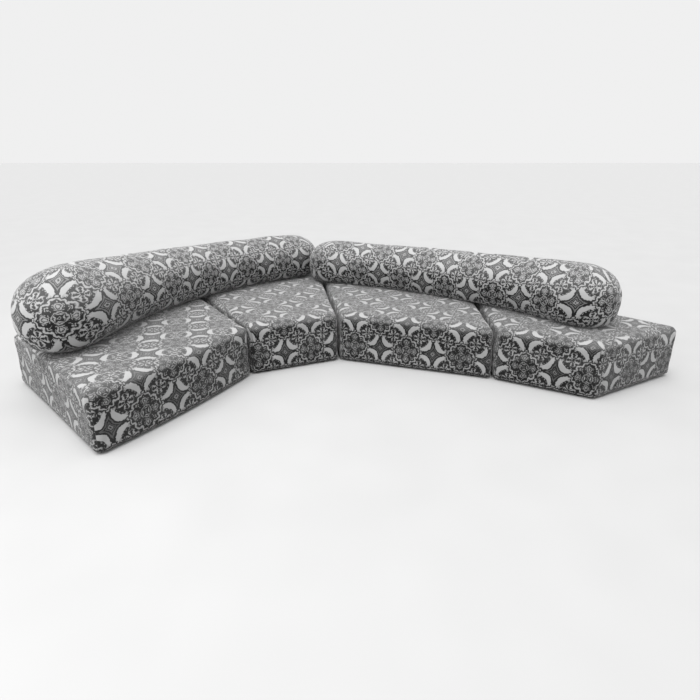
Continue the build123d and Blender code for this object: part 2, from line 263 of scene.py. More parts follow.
class Term:
    """A number in a shader, which plain arithmetic builds on."""

    def __init__(self, tree, socket):
        self.tree = tree
        self.socket = socket

    def make(self, kind, *others):
        node = self.tree.nodes.new("ShaderNodeMath")
        node.operation = kind
        for place, value in zip(node.inputs, (self, *others)):
            put(self.tree, place, value)
        return Term(self.tree, node.outputs[0])

    def __add__(self, other):
        return self.make("ADD", other)

    def __sub__(self, other):
        return self.make("SUBTRACT", other)

    def __rsub__(self, other):
        return self.make("MULTIPLY_ADD", -1.0, other)

    def __mul__(self, other):
        return self.make("MULTIPLY", other)

    def __abs__(self):
        return self.make("ABSOLUTE")

    def least(self, other):
        return self.make("MINIMUM", other)

    def most(self, other):
        return self.make("MAXIMUM", other)

    def fold(self, half):
        return self.make("PINGPONG", half)

    def step(self, low, high):
        """0 at low and beyond, 1 at high and beyond, and smooth between."""
        node = self.tree.nodes.new("ShaderNodeMapRange")
        node.interpolation_type = "SMOOTHSTEP"
        self.tree.links.new(self.socket, node.inputs["Value"])
        fill(node, From_Min=low, From_Max=high)
        return Term(self.tree, node.outputs[0])

    def within(self, radius, soft=line_soft):
        """1 where a distance is below a radius, with a soft edge."""
        return (self - radius).step(soft, -soft)

    def band(self, low, high, soft=line_soft):
        """1 where a distance lies between low and high, with soft edges."""
        half = (high - low) / 2
        return abs(self - (low + high) / 2).step(half + soft, half - soft)

    def over(self, below, shade=black):
        """This mask laid over what is below, in a shade or in black."""
        node = self.tree.nodes.new("ShaderNodeMix")
        node.data_type = "FLOAT"
        put(self.tree, node.inputs[0], self)
        put(self.tree, node.inputs[2], below)
        put(self.tree, node.inputs[3], shade)
        return Term(self.tree, node.outputs[0])


def put(tree, place, value):
    """Links a term to a socket, or sets a plain number on it."""
    if isinstance(value, Term):
        tree.links.new(value.socket, place)
    else:
        place.default_value = value


def away(x, y, x0, y0):
    """Distance of the point (x, y) from (x0, y0)."""
    dx, dy = x - x0, y - y0
    return (dx * dx + dy * dy).make("SQRT")


def round_about(x, y, x0, y0, count):
    """Distance from a centre, and the point folded into the first of count equal wedges round it."""
    dx, dy = x - x0, y - y0
    angle = dy.make("ARCTAN2", dx).fold(pi / count)
    reach = (dx * dx + dy * dy).make("SQRT")
    return reach, reach * angle.make("COSINE"), reach * angle.make("SINE")


def fill(node, **values):
    """Sets sockets of a node, called by their names with _ for each space."""
    for name, value in values.items():
        node.inputs[name.replace("_", " ")].default_value = value


def noise_term(tree, vector, scale, detail, roughness=0.5, seed=0.0):
    """Soft random values between 0 and 1 over a vector."""
    node = tree.nodes.new("ShaderNodeTexNoise")
    node.noise_dimensions = "4D"
    tree.links.new(vector, node.inputs["Vector"])
    fill(node, W=seed, Scale=scale, Detail=detail, Roughness=roughness)
    return Term(tree, node.outputs[0])


def drift(tree, vector, scale, seed):
    """Soft random values to both sides of zero over a vector."""
    return noise_term(tree, vector, scale, detail=1.0, seed=seed) - 0.5


def folded(a, b):
    """Brings a point into one of the repeat's mirrored triangles, from a star to a medallion and a bunch."""
    p, q = a.fold(half_repeat), b.fold(half_repeat)
    far = (p + q).step(half_repeat - mirror_soft, half_repeat + mirror_soft)
    p = far.over(p, half_repeat - p)
    q = far.over(q, half_repeat - q)
    return p.most(q), p.least(q)


def hand_drawn(tree, spot, x, y):
    """Bends the lines a little, in the same way on both sides of each mirror line and least at the star."""
    bend_scale = 15.0
    bend_width = 0.07
    firm, free = 0.08, 0.3
    loose = x.step(firm, free)
    x = x + drift(tree, spot, bend_scale, 11.0) * bend_width * loose
    y = y + drift(tree, spot, bend_scale, 14.0) * bend_width * loose
    return x, y


def scrolls(tree, spot):
    """Scrolls and leaves: contours of a soft noise, mirrored with the repeat."""
    scroll_spacing, scroll_edge, scroll_shade = 0.06, (0.017, 0.027), 0.70
    hollow_edge = (0.59, 0.62)
    leaf_edge, leaf_shade = (0.38, 0.34), 0.8
    swirl = noise_term(tree, spot, scale=9.0, detail=0.6, seed=3.1)
    value = swirl.fold(scroll_spacing).step(*scroll_edge).over(black, scroll_shade)
    curl = noise_term(tree, spot, scale=17.0, detail=0.0, seed=7.7)
    value = curl.step(*hollow_edge).over(value)
    return curl.step(*leaf_edge).over(value, leaf_shade)


def bunch_of_berries(value, x, y):
    """Bunch of dark berries on stems half way between two stars, on a pale round ground."""
    ground_radius = 0.104
    ground_soft = 0.02
    ground_shade = 0.86
    stem_edges = (0.008, 0.004)
    stem_ends = (0.02, 0.07)
    outer_count, outer_reach, outer_radius = 8, 0.080, 0.019
    inner_count, inner_reach, inner_radius = 4, 0.046, 0.015
    heart_radius = 0.014
    reach, outer_x, outer_y = round_about(x, y, *bunch_place, outer_count)
    value = reach.within(ground_radius, ground_soft).over(value, ground_shade)
    value = (abs(outer_y).step(*stem_edges) * reach.band(*stem_ends)).over(value)
    value = away(outer_x, outer_y, outer_reach, 0.0).within(outer_radius).over(value)
    _, inner_x, inner_y = round_about(x, y, *bunch_place, inner_count)
    value = away(inner_x, inner_y, inner_reach, 0.0).within(inner_radius).over(value)
    return reach.within(heart_radius).over(value)


def medallion(value, x, y):
    """Scalloped medallion half way between two stars of one row, with rosettes and a hollow square."""
    lobe_place, lobe_radius = (0.150, 0.0), 0.080
    corner_place, corner_size = (0.106, 0.106), 0.056
    edge_ground = (-0.012, 0.050)
    edge_line, edge_shade = (0.010, 0.031), 0.85
    rosette_place = (0.148, 0.0)
    rosette_ground, rosette_radius, rosette_shade = 0.056, 0.045, 0.74
    rosette_ring = (0.020, 0.030)
    square_pinch = 6.0
    square_ground = (0.060, 0.094)
    square_line, square_shade = (0.070, 0.084), 0.72
    heart_ring = (0.018, 0.034)
    m = half_repeat - x
    edge = (away(m, y, *lobe_place) - lobe_radius).least(away(m, y, *corner_place) - corner_size)
    value = edge.band(*edge_ground).over(value)
    value = edge.band(*edge_line).over(value, edge_shade)
    rosette = away(m, y, *rosette_place)
    value = rosette.within(rosette_ground).over(value)
    value = rosette.within(rosette_radius).over(value, rosette_shade)
    value = rosette.band(*rosette_ring).over(value)
    square = m.most(y) + (m * y) * square_pinch
    value = square.band(*square_ground).over(value)
    value = square.band(*square_line).over(value, square_shade)
    return away(m, y, 0.0, 0.0).band(*heart_ring).over(value)


def star(value, x, y):
    """Four-point star with crescents and berries round it, a diamond within and a dot at each point."""
    ring_place, berry_count = (0.114, 0.114), 11
    berry_reach, berry_radius = 0.088, 0.019
    bean_reach, bean_half_width, bean_half_length = 0.204, 0.042, 0.178
    bean_edge, bean_end, bean_shade = (1.10, 0.96), (0.255, 0.24), 0.95
    ground_edge, ground_end = (0.241, 0.249), (0.215, 0.2)
    star_edge, star_end, star_shade = (0.262, 0.270), (0.165, 0.155), 0.36
    line, line_end = (0.283, 0.298), (0.14, 0.13)
    diamond_ground, diamond_size, diamond_heart = 0.062, 0.046, 0.018
    diamond_shade = 0.6
    tip_place = (0.228, 0.0)
    tip_ground, tip_radius, tip_shade = 0.026, 0.014, 0.8
    _, berry_x, berry_y = round_about(x, y, *ring_place, berry_count)
    near = x.step(*bean_end)
    value = (away(berry_x, berry_y, berry_reach, 0.0).within(berry_radius) * near).over(value)
    bend = away(x, y, *bunch_place)
    bowed = (bend - bean_reach) * (1 / bean_half_width)
    tapered = (x - y) * (1 / bean_half_length)
    bean = (bowed * bowed + tapered * tapered).make("SQRT")
    value = (bean.step(*bean_edge) * near).over(value, bean_shade)
    value = (bend.step(*ground_edge) * x.step(*ground_end)).over(value)
    value = (bend.step(*star_edge) * x.step(*star_end)).over(value, star_shade)
    value = (bend.band(*line, fine_soft) * x.step(*line_end)).over(value)
    middle = x + y
    value = middle.within(diamond_ground).over(value)
    value = middle.within(diamond_size).over(value, diamond_shade)
    value = middle.within(diamond_heart).over(value)
    tip = away(x, y, *tip_place)
    value = tip.within(tip_ground).over(value)
    return tip.within(tip_radius).over(value, tip_shade)


def arabesque(tree, a, b):
    """Grey value of the repeat at the point (a, b), counted in repeats: stars, medallions and scrolls."""
    x, y = folded(a, b)
    spot = tree.nodes.new("ShaderNodeCombineXYZ")
    tree.links.new(x.socket, spot.inputs[0])
    tree.links.new(y.socket, spot.inputs[1])
    spot = spot.outputs[0]
    x, y = hand_drawn(tree, spot, x, y)
    value = scrolls(tree, spot)
    for motif in (bunch_of_berries, medallion, star):
        value = motif(value, x, y)
    return value


# Materials


def new_material(name):
    material = bpy.data.materials.new(name)
    material.use_nodes = True
    return material, material.node_tree, material.node_tree.nodes["Principled BSDF"]


def ramp(tree, factor, stops):
    """Colour ramp of greys or colours over a factor."""
    node = tree.nodes.new("ShaderNodeValToRGB")
    tree.links.new(factor, node.inputs[0])
    elements = node.color_ramp.elements
    while len(elements) < len(stops):
        elements.new(0.5)
    for element, (place, colour) in zip(elements, stops):
        element.position = place
        element.color = (*colour, 1) if isinstance(colour, tuple) else (colour, colour, colour, 1)
    return node.outputs[0]


def bump(tree, shader, height, distance, strength):
    node = tree.nodes.new("ShaderNodeBump")
    fill(node, Distance=distance, Strength=strength)
    tree.links.new(height.socket, node.inputs["Height"])
    tree.links.new(node.outputs[0], shader.inputs["Normal"])


def object_place(tree):
    return tree.nodes.new("ShaderNodeTexCoord").outputs["Object"]


def parts_of(tree, vector):
    """The three numbers of a vector in a shader."""
    node = tree.nodes.new("ShaderNodeSeparateXYZ")
    tree.links.new(vector, node.inputs[0])
    return [Term(tree, output) for output in node.outputs]


def uv_place(tree, layer):
    node = tree.nodes.new("ShaderNodeUVMap")
    node.uv_map = layer
    return node.outputs[0]


def fabric_material(name, stops):
    """Chenille in black, grey and pale grey with the arabesque woven in, and painted light: paler and hazier
    where it faces up.
    """
    fuzz_contrast = 0.26
    wear_contrast = 0.22
    crease_edge, painted_crease_shade, crease_drop = (0.028, 0.006), 0.7, 2.0
    # Painted light and sheen on faces that look up: the slopes of their normal over which it grows, then its
    # gain and haze
    painted_light_slopes = (-0.1, 0.6)
    pattern_rise = 0.5
    shade_level, painted_top_gain, painted_sheen_haze = 0.75, 0.01, 0.08
    least_roughness, roughness_spread = 0.82, 0.16
    material, tree, shader = new_material(name)
    place = uv_place(tree, "fabric")
    a, b, _ = parts_of(tree, place)
    for scale, width, seed in drift_waves:
        a = a + drift(tree, place, scale, seed) * width
        b = b + drift(tree, place, scale, seed + drift_seed_gap) * width
    value = arabesque(tree, a, b)
    fuzz = noise_term(tree, place, scale=150.0, detail=2.0, roughness=0.7, seed=2.0)
    worn = noise_term(tree, object_place(tree), scale=3.5, detail=2.0, roughness=0.6, seed=9.0)
    value = value + (fuzz - 0.5) * fuzz_contrast + (worn - 0.5) * wear_contrast
    seam_distance, _, _ = parts_of(tree, uv_place(tree, "seam"))
    crease = seam_distance.step(*crease_edge)
    # Painted shade: the colour darkens along the seams, as in the shade of their grooves
    value = value * (1.0 - crease * painted_crease_shade)
    # Painted light: the colour is lighter and hazier on faces that look up, as if lit and sheened from above
    normal = tree.nodes.new("ShaderNodeNewGeometry").outputs["Normal"]
    painted_top_light = parts_of(tree, normal)[2].step(*painted_light_slopes)
    shade = Term(tree, ramp(tree, value.socket, stops)) * (painted_top_light * painted_top_gain + shade_level) + painted_top_light * painted_sheen_haze
    tree.links.new(shade.socket, shader.inputs["Base Color"])
    tree.links.new((fuzz * roughness_spread + least_roughness).socket, shader.inputs["Roughness"])
    fill(shader, Specular_IOR_Level=0.2, Sheen_Weight=0.26, Sheen_Roughness=0.5, Sheen_Tint=(1, 1, 1, 1))
    weave = noise_term(tree, place, scale=330.0, detail=2.0, roughness=0.6, seed=4.0)
    relief = weave + value * pattern_rise - crease * crease_drop
    bump(tree, shader, relief, distance=0.0015, strength=0.7)
    return material


def plain_material(name, stops, scale, detail, roughness, metal=0.0, stretch=(1, 1, 1), depth=0.0003):
    """Material of one matter with its own grain: colours over a stretched noise, and a bump from it."""
    roughness_spread = 0.25
    roughness_drop = 0.12
    material, tree, shader = new_material(name)
    mapping = tree.nodes.new("ShaderNodeMapping")
    tree.links.new(object_place(tree), mapping.inputs["Vector"])
    mapping.inputs["Scale"].default_value = stretch
    grain = noise_term(tree, mapping.outputs[0], scale, detail, roughness=0.6)
    rough = grain * roughness_spread + (roughness - roughness_drop)
    tree.links.new(ramp(tree, grain.socket, stops), shader.inputs["Base Color"])
    tree.links.new(rough.socket, shader.inputs["Roughness"])
    shader.inputs["Metallic"].default_value = metal
    bump(tree, shader, grain, depth, strength=0.5)
    return material


def timber_material():
    """Planed softwood: growth rings along each rail, with fine fibres."""
    ring_share = 0.7
    fibre_share = 0.3
    material, tree, shader = new_material("planed_softwood")
    place = object_place(tree)
    wave = tree.nodes.new("ShaderNodeTexWave")
    tree.links.new(place, wave.inputs["Vector"])
    wave.bands_direction = "Z"
    fill(wave, Scale=22, Distortion=3.0, Detail=3, Detail_Scale=0.7)
    fibre = noise_term(tree, place, scale=140.0, detail=3.0)
    grain = Term(tree, wave.outputs["Fac"]) * ring_share + fibre * fibre_share
    tree.links.new(ramp(tree, grain.socket, timber_shades), shader.inputs["Base Color"])
    shader.inputs["Roughness"].default_value = 0.62
    bump(tree, shader, grain, distance=0.0004, strength=0.5)
    return material


# Seat blocks


def side_lines(node):
    """Corners of a block's cover, from the straight sides of its deck, as a list that runs round it."""
    points = coords(nodes[node + "_deck"].data)
    low = points[points[:, 2] < points[:, 2].min() + same_level][:, :2]
    hull = [low[i] for i in convex_hull_2d([Vector(p) for p in low])]
    if sum(np.cross(hull[i - 1], hull[i]) for i in range(len(hull))) < 0:
        hull.reverse()
    edges = [(hull[i - 1], hull[i]) for i in range(len(hull))]
    longest = sorted(range(len(edges)), key=lambda i: -np.linalg.norm(edges[i][1] - edges[i][0]))[:4]
    lines = []
    for index in sorted(longest):
        start, end = edges[index]
        along = (end - start) / np.linalg.norm(end - start)
        out = np.array([along[1], -along[0]])
        lines.append((start + out * frame_padding, along))
    corners = []
    for index, (point, along) in enumerate(lines):
        before, along_before = lines[index - 1]
        slant = along_before[0] * along[1] - along_before[1] * along[0]
        gap = point - before
        reach = (gap[0] * along[1] - gap[1] * along[0]) / slant
        corners.append(before + along_before * reach)
    low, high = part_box(node + "_front_rail")
    rail = np.array([(low[0] + high[0]) / 2, (low[1] + high[1]) / 2])
    middles = [(corners[i] + corners[(i + 1) % 4]) / 2 for i in range(4)]
    first = min(range(4), key=lambda i: np.linalg.norm(middles[i] - rail))
    return [corners[(first + i) % 4] for i in range(4)]


class Block:
    """Plan of a seat block, with the places of points along and in from its sides."""

    def __init__(self, letter):
        self.letter = letter
        self.starts = np.array(side_lines("seat_" + letter))
        self.bow = front_a_bow if letter == "a" else 0.0
        self.heart = sum(self.starts) / 4
        self.reach = max(np.linalg.norm(c - self.heart) for c in self.starts)
        ends = np.roll(self.starts, -1, axis=0)
        self.lengths = np.linalg.norm(ends - self.starts, axis=1)
        self.along = (ends - self.starts) / self.lengths[:, None]
        self.inward = np.stack([-self.along[:, 1], self.along[:, 0]], axis=1)

    def top(self, points):
        """Height of the crowned top over points in plan."""
        spread = np.linalg.norm(points - self.heart, axis=-1) / self.reach
        return seat_height + crown * (1 - spread ** 2)

    def front_bow(self, points):
        """How far the front bows out beside points in plan."""
        share = np.clip((points - self.starts[0]) @ self.along[0] / self.lengths[0], 0, 1)
        return 4 * self.bow * share * (1 - share)

    def ring(self, inset):
        """Rounded outline moved inward, as points that match from ring to ring."""
        radius = max(corner_radius - inset, least_corner_radius)
        arcs = []
        for index in range(4):
            before = index - 1
            turn = np.cross(self.along[before], self.along[index])
            inner = self.starts[index] + (self.along[index] - self.along[before]) * ((inset + radius) / turn)
            first = np.arctan2(*(-self.inward[before])[::-1])
            last = np.arctan2(*(-self.inward[index])[::-1])
            sweep = (last - first) % (2 * pi)
            angles = [first + sweep * step / corner_steps for step in range(corner_steps + 1)]
            arcs.append([inner + radius * np.array([np.cos(angle), np.sin(angle)]) for angle in angles])
        out = []
        for index, arc in enumerate(arcs):
            out += arc
            start = arc[-1]
            end = arcs[(index + 1) % 4][0]
            for step in range(1, side_steps):
                out.append(start + (end - start) * step / side_steps)
        out = np.array(out)
        if self.bow:
            depth = (out - self.starts[0]) @ self.inward[0]
            fade = np.clip(1 - (depth - inset) / front_a_bow_depth, 0, 1)
            rise = self.front_bow(out) * fade
            out = out - self.inward[0] * rise[:, None]
        return out

    def bisector(self, index):
        """Direction from a corner into the block, half way between its two sides."""
        both = self.inward[index - 1] + self.inward[index]
        return both / np.linalg.norm(both)

    def from_corner(self, index, plan):
        """For points in plan: distance into the block along a corner's bisector, and aside from it."""
        ahead = self.bisector(index)
        offset = plan - self.starts[index]
        return offset @ ahead, offset[:, 0] * ahead[1] - offset[:, 1] * ahead[0]

    def inset(self, points):
        """How far points in plan lie in from each side, with the front's bow."""
        depth = np.einsum("kij,ij->ki", points[:, None, :] - self.starts[None], self.inward)
        if self.bow:
            depth[:, 0] += self.front_bow(points)
        return depth


def block_mesh(block):
    """Closed base mesh of an upholstered block, a little smaller than its place."""
    rings = []
    shrink = block_shrink
    hem = underside - hem_drop
    low_rings = [(inset, underside) for inset in (*under_insets, hem_lip)]
    low_rings.append((hem_lip * hem_edge_share, hem))
    for inset, height in low_rings:
        ring = block.ring(inset + shrink)
        rings.append(np.column_stack([ring, np.full(len(ring), height)]))
    for step in range(hem_steps + 1):
        angle = pi / 2 * step / hem_steps
        ring = block.ring(hem_radius * (1 - sin(angle)) + shrink)
        rings.append(np.column_stack([ring, np.full(len(ring), hem + hem_radius * (1 - np.cos(angle)))]))
    edge = top_radius
    for share in side_ring_shares:
        ring = block.ring(shrink)
        roof = block.top(ring) - shrink - edge
        height = hem + hem_radius + (roof - hem - hem_radius) * share
        rings.append(np.column_stack([ring, height]))
    for step in range(1, edge_steps + 1):
        angle = pi / 2 * step / edge_steps
        ring = block.ring(edge * (1 - np.cos(angle)) + shrink)
        roof = block.top(ring) - shrink - edge
        rings.append(np.column_stack([ring, roof + edge * sin(angle)]))
    last = block.ring(edge + shrink)
    for share in top_ring_shares:
        ring = block.heart + (last - block.heart) * share
        rings.append(np.column_stack([ring, block.top(ring) - shrink]))
    return skin_rings("seat_" + block.letter + "_upholstery", rings)


def skin_rings(name, rings):
    """Closed mesh through rings of matching points, with a flat cap on the first and the last."""
    count = len(rings[0])
    verts = np.concatenate(rings)
    faces = [tuple(reversed(range(count)))]
    for level in range(len(rings) - 1):
        for index in range(count):
            after = (index + 1) % count
            low, high = level * count, (level + 1) * count
            faces.append((low + index, low + after, high + after, high + index))
    top = (len(rings) - 1) * count
    faces.append(tuple(range(top, top + count)))
    return mesh_piece(name, verts, faces)


def smooth_noise(points, scale, seed):
    """Soft random values between about -1 and 1 at points, from a fixed set of waves."""
    draw = np.random.default_rng(seed)
    total = np.zeros(len(points))
    for _ in range(noise_waves):
        direction = draw.normal(size=3)
        direction /= np.linalg.norm(direction)
        wave = 2 * pi / scale * draw.uniform(*noise_spread)
        total += np.sin(points @ direction * wave + draw.uniform(0, 2 * pi))
    return total / sqrt(noise_waves)


def slack(points, waves, seed):
    """Height of a cover's slow and quick waves at points."""
    rows = enumerate(waves)
    return sum(smooth_noise(points, length, seed + index) * rise for index, (length, rise) in rows)


def puff(piece, voxel, cap, pinned):
    """Remeshes a piece evenly, inflates it as cloth with some points held, and smooths it."""
    remesh = piece.modifiers.new("even", "REMESH")
    remesh.mode = "VOXEL"
    remesh.voxel_size = voxel
    bake_modifiers(piece)
    start = coords(piece.data)
    group = piece.vertex_groups.new(name="held")
    held = np.nonzero(pinned(start))[0]
    group.add([int(i) for i in held], 1.0, "REPLACE")
    cloth = piece.modifiers.new("cloth", "CLOTH")
    settings = cloth.settings
    settings.vertex_group_mass = "held"
    settings.use_pressure = True
    settings.uniform_pressure_force = cloth_pressure
    settings.effector_weights.gravity = 0
    settings.quality = cloth_quality
    settings.mass = cloth_mass
    settings.tension_stiffness = cloth_stretch_stiffness
    settings.compression_stiffness = cloth_stretch_stiffness
    settings.bending_stiffness = cloth_bending_stiffness
    settings.shrink_min = -cloth_growth
    cloth.collision_settings.use_collision = False
    cloth.point_cache.frame_start = 1
    cloth.point_cache.frame_end = cloth_frames
    scene = bpy.context.scene
    for step in range(1, cloth_frames + 1):
        scene.frame_set(step)
    bake_modifiers(piece)
    scene.frame_set(1)
    piece.vertex_groups.clear()
    moved = coords(piece.data) - start
    length = np.linalg.norm(moved, axis=1)
    keep = cap * np.tanh(length / cap) / np.maximum(length, tiny)
    set_coords(piece.data, start + moved * keep[:, None])
    smooth = piece.modifiers.new("finer", "SUBSURF")
    smooth.levels = 1
    smooth.render_levels = 1
    bake_modifiers(piece)
    shade_smooth(piece.data)


def bake_modifiers(piece):
    """Makes a piece's modifiers part of its mesh."""
    graph = bpy.context.evaluated_depsgraph_get()
    graph.update()
    mesh = bpy.data.meshes.new_from_object(piece.evaluated_get(graph))
    piece.modifiers.clear()
    old = piece.data
    piece.data = mesh
    mesh.name = piece.name
    bpy.data.meshes.remove(old)


def face_data(mesh):
    """Each face's middle and normal, and each corner's vertex and face."""
    total = read(mesh.polygons, "loop_total", int, width=1)
    vertex = read(mesh.loops, "vertex_index", int, width=1)
    face = np.repeat(np.arange(len(total)), total)
    return read(mesh.polygons, "center"), read(mesh.polygons, "normal"), vertex, face


def cut_mesh(mesh, cuts):
    """Cuts straight lines into a mesh along planes, each on the faces near its own place."""
    bm = bmesh.new()
    bm.from_mesh(mesh)
    for place, normal, near in cuts:
        faces = [face for face in bm.faces if near(face.calc_center_median())]
        edges = dict.fromkeys(edge for face in faces for edge in face.edges)
        verts = dict.fromkeys(vert for face in faces for vert in face.verts)
        bmesh.ops.bisect_plane(
            bm, geom=[*verts, *edges, *faces], plane_co=place, plane_no=normal, dist=cut_snap,
        )
    bm.to_mesh(mesh)
    bm.free()


def cut_block(block, mesh):
    """Cuts a block's mesh along the seam under its top panel, and along its upright corner seams."""
    def by_level(point):
        at_seam = abs(point.z - seam_level) < level_cut_reach
        return at_seam and block.inset(np.array([point.xy]))[0, 0] > level_cut_inset

    cuts = [((0, 0, seam_level), (0, 0, 1), by_level)]
    for index in range(4):
        ahead = block.bisector(index)
        corner = Vector(block.starts[index])

        def by_corner(point, corner=corner):
            return point.z < seam_level and (point.xy - corner).length < corner_zone

        cuts.append(((*corner, 0), (ahead[1], -ahead[0], 0), by_corner))
    cut_mesh(mesh, cuts)


def set_uv(mesh, u, v, seam):
    """Stores the place on the fabric, and the distance from the nearest seam in tenths of a metre."""
    seam = np.minimum(seam * seam_scale, 1)
    for name, first, second in (("fabric", u, v), ("seam", seam, np.zeros(len(seam)))):
        layer = mesh.uv_layers.new(name=name)
        layer.data.foreach_set("uv", np.column_stack([first, second]).ravel())


def profile_length(depth, height, roof):
    """Distance along the cloth from the lower end of the rounded top edge, up and over onto the top."""
    edge = top_radius
    start = roof - edge
    angle = np.arctan2(np.maximum(height - start, 0), np.maximum(edge - depth, tiny))
    rounded = edge * angle
    on_top = depth >= edge
    return np.where(on_top, edge * pi / 2 + depth - edge, np.where(height < start, height - start, rounded))


def block_seams(block, points, panel, on_top):
    """Distance of points on a block from its upright corner seams, or from the seam round its top edge."""
    depth = block.inset(points[:, :2])
    upright = np.full(len(points), no_seam)
    for index in range(4):
        ahead, aside = block.from_corner(index, points[:, :2])
        upright = np.minimum(upright, np.where(ahead > corner_zone, no_seam, np.abs(aside)))
    upright[on_top] = no_seam
    nearest = np.where(on_top, np.argmin(depth, axis=1), panel)
    own = depth[np.arange(len(points)), nearest]
    start = block.top(points[:, :2]) - top_radius
    turn = np.arctan2(points[:, 2] - start, top_radius - own)
    seam_turn = np.arcsin(np.clip((seam_level - start) / top_radius, -1, 1))
    edge = top_radius * np.abs(turn - seam_turn)
    edge[nearest == 0] = no_seam
    return np.minimum(upright, edge)


def block_uv(block, mesh):
    """Lays the fabric on a block: one width from the front over the top, and a panel on each other side."""
    middle, normal, vertex, face = face_data(mesh)
    facing = -normal[:, :2] @ block.inward.T
    side = np.argmax(facing, axis=1)
    for index in range(4):
        ahead, aside = block.from_corner(index, middle[:, :2])
        near = np.hypot(ahead, aside) < corner_zone
        side = np.where(near, np.where(aside > 0, index, (index - 1) % 4), side)
    above = middle[:, 2] > seam_level
    side[above] = 0
    under = normal[:, 2] < under_slope
    points = coords(mesh)[vertex]
    panel = side[face]
    depth = block.inset(points[:, :2])
    own = depth[np.arange(len(points)), panel]
    along = np.einsum("ij,ij->i", points[:, :2] - block.starts[panel], block.along[panel])
    roof = block.top(points[:, :2])
    fall = profile_length(own, points[:, 2], roof)
    fall = np.where(under[face], points[:, 2] - roof + top_radius - own, fall)
    first, wide = front_stars[block.letter]
    side_first, side_wide = side_stars[block.letter]
    u = np.where(panel == 0, (along - first) / wide, (along - side_first) / side_wide)
    v = (fall - star_row) / repeat
    set_uv(mesh, u, v, block_seams(block, points, panel, above[face]))


def soften_block(block, mesh, seed):
    """Adds the slack of a used cover: slow waves on the top and sides, and short pulls at the corners."""
    points = coords(mesh)
    depth = block.inset(points[:, :2])
    nearest = depth.min(axis=1)
    waves = slack(points, seat_waves, seed)
    ends = np.sqrt(np.partition(depth, 1, axis=1)[:, :2] ** 2).sum(axis=1)
    corner_pull = np.exp(-((ends - crease_place) / crease_reach) ** 2)
    creases = smooth_noise(points * np.array(crease_stretch), crease_length, seed + len(seat_waves))
    creases = creases * crease_height * corner_pull
    fade = np.clip((points[:, 2] - still_level) / wave_rise, 0, 1)
    points = points + read(mesh.vertices, "normal") * ((waves + creases) * fade)[:, None]
    roof = block.top(points[:, :2])
    points[:, 2] = np.minimum(points[:, 2], roof)
    out = block.inset(points[:, :2])
    for index in range(4):
        gap = np.minimum(out[:, index], 0)
        points[:, :2] -= block.inward[index] * gap[:, None]
    floor_level = np.where(nearest > hem_lip, underside, underside - hem_drop)
    points[:, 2] = np.maximum(points[:, 2], floor_level)
    set_coords(mesh, points)


# Bolsters


class Bolster:
    """A curved bolster: its arc in plan, its changing radius and its domed ends."""

    def __init__(self, name, home):
        self.name = name
        self.body = "bolster_" + name
        vars(self).update(bolsters[name])
        heading = radians(self.heading)
        self.along = np.array([np.cos(heading), np.sin(heading)])
        self.right = np.array([self.along[1], -self.along[0]])
        self.centre = np.array(self.middle) + home + self.right * self.arc_radius

    def radius(self, share):
        """Radius of the section at a share of the arc, which runs from -0.5 to 0.5."""
        first, middle, last = self.radii
        return middle + (last - first) * share + (first + last - 2 * middle) * 2 * share ** 2

    def station(self, share):
        """Centre of the section, direction along the arc and direction to the back."""
        turn = self.length * share / self.arc_radius
        place = self.centre - self.right * self.arc_radius * np.cos(turn)
        place = place + self.along * self.arc_radius * np.sin(turn)
        along = self.along * np.cos(turn) + self.right * np.sin(turn)
        return place, along, np.array([-along[1], along[0]])

    def height(self, share):
        """Height of the section's centre."""
        return bolster_level + self.radius(share) - self.flat_depth


def bolster_mesh(bolster):
    """Closed base mesh of a bolster, a little smaller than its place."""
    shrink = bolster_shrink
    angles = np.linspace(0, 2 * pi, points_around, endpoint=False)
    rings = []

    def ring(share, beyond, way, scale):
        place, along, back = bolster.station(share)
        radius = (bolster.radius(share) - shrink) * scale
        centre = place + along * way * beyond
        # The lower front sags fuller onto the seat, and so does the underside of the domed ends
        level, low = np.cos(angles), np.sin(angles)
        sagging = (level < 0) & (low < 0)
        fuller = np.where(sagging, 2 / sag_power, 1)
        lateral = np.sign(level) * np.abs(level) ** fuller * radius
        drop = np.where(low < 0, scale ** (sag_reach - 1), 1)
        height = bolster.height(share) + np.sign(low) * np.abs(low) ** fuller * radius * drop
        height = np.maximum(height, bolster_level + bolster_lift)
        return np.column_stack([centre + lateral[:, None] * back, height])

    def dome(share, length, way, angle):
        fuller = 2 / dome_power
        beyond = (length - shrink) * sin(angle) ** fuller
        return ring(share, beyond, way, max(np.cos(angle), dome_tip) ** fuller)

    for step in range(dome_steps):
        rings.append(dome(arc_ends[0], bolster.domes[0], -1, pi / 2 * (1 - step / dome_steps)))
    for step in range(arc_steps + 1):
        rings.append(ring(step / arc_steps - 0.5, 0, 1, 1))
    for step in range(dome_steps):
        rings.append(dome(arc_ends[1], bolster.domes[1], 1, pi / 2 * (step + 1) / dome_steps))
    return skin_rings(bolster.body + "_upholstery", rings)


def bolster_places(bolster, points):
    """For points on a bolster: share along its arc, distance beyond its end, sideways and upward offsets."""
    plan = points[:, :2] - bolster.centre
    ahead = plan @ bolster.along
    across = plan @ -bolster.right
    share = np.arctan2(ahead, across) * bolster.arc_radius / bolster.length
    clipped = np.clip(share, *arc_ends)
    lateral = np.hypot(ahead, across) - bolster.arc_radius
    beyond = np.zeros(len(points))
    for end in arc_ends:
        place, along, back = bolster.station(end)
        mask = share * np.sign(end) > 0.5
        local = points[mask, :2] - place
        beyond[mask] = local @ along * np.sign(end)
        lateral[mask] = local @ back
    upward = points[:, 2] - bolster.height(clipped)
    return share, clipped, beyond, lateral, upward


def cut_bolster(bolster, mesh):
    """Cuts a bolster's mesh where its domed ends begin."""
    cuts = []
    for end in arc_ends:
        place, along, _ = bolster.station(end)

        def by_end(point, place=Vector(place)):
            return (point.xy - place).length < end_cut_reach

        cuts.append(((*place, 0), (*along, 0), by_end))
    cut_mesh(mesh, cuts)


